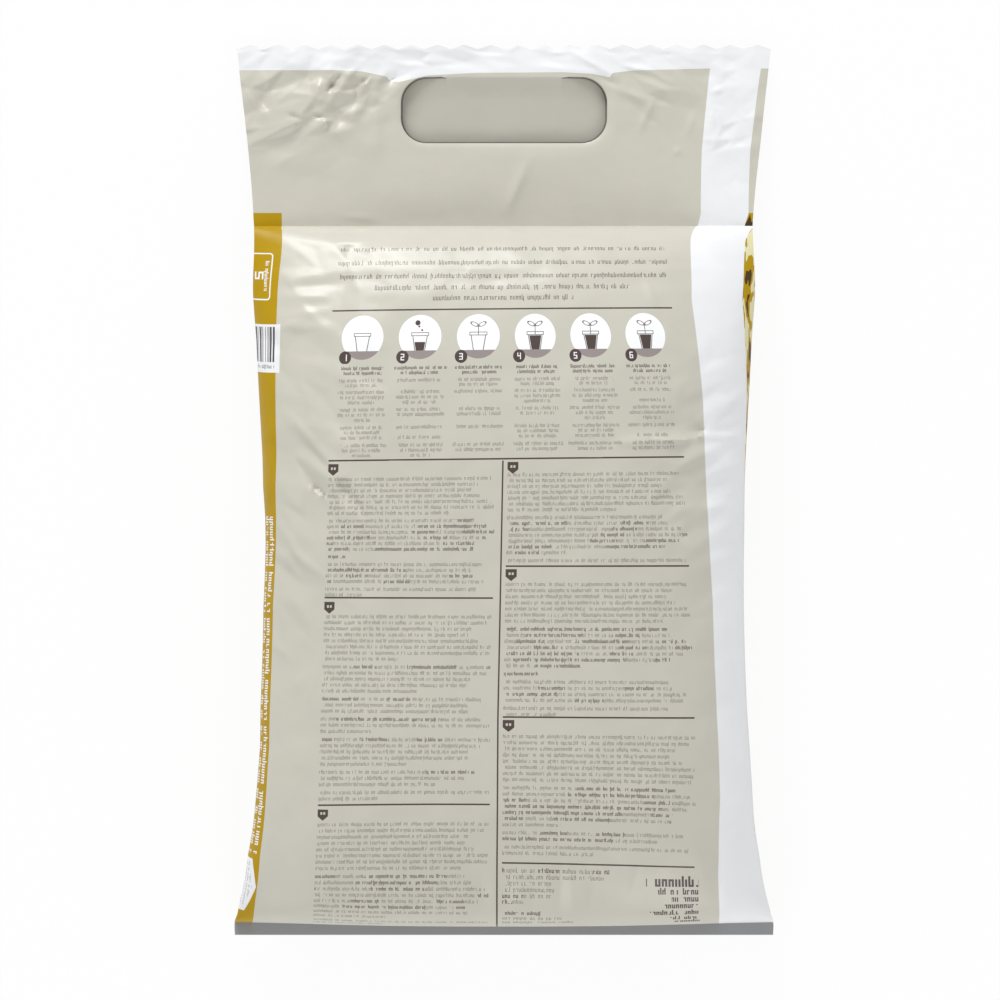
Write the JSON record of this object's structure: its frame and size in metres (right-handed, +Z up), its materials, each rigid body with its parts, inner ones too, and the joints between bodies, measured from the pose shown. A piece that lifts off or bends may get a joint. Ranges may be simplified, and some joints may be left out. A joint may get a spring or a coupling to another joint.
{
  "type": "compost bag",
  "caption": "Filled, sealed film bag of compost lying on its front, with a flat header, a closed hand slot and a toothed cut edge.",
  "frame": {"origin": "on the surface the bag lies on, under the middle of its length and width", "axes": "+Y along the bag from the bottom weld to the toothed cut edge, +Z up through the back panel, +X across to the right"},
  "size_m": [0.285, 0.4716, 0.0725],
  "materials": {
    "printed_film": "satin"
  },
  "bodies": {
    "root": {"filled_bag": "printed_film"}
  },
  "joints": []
}
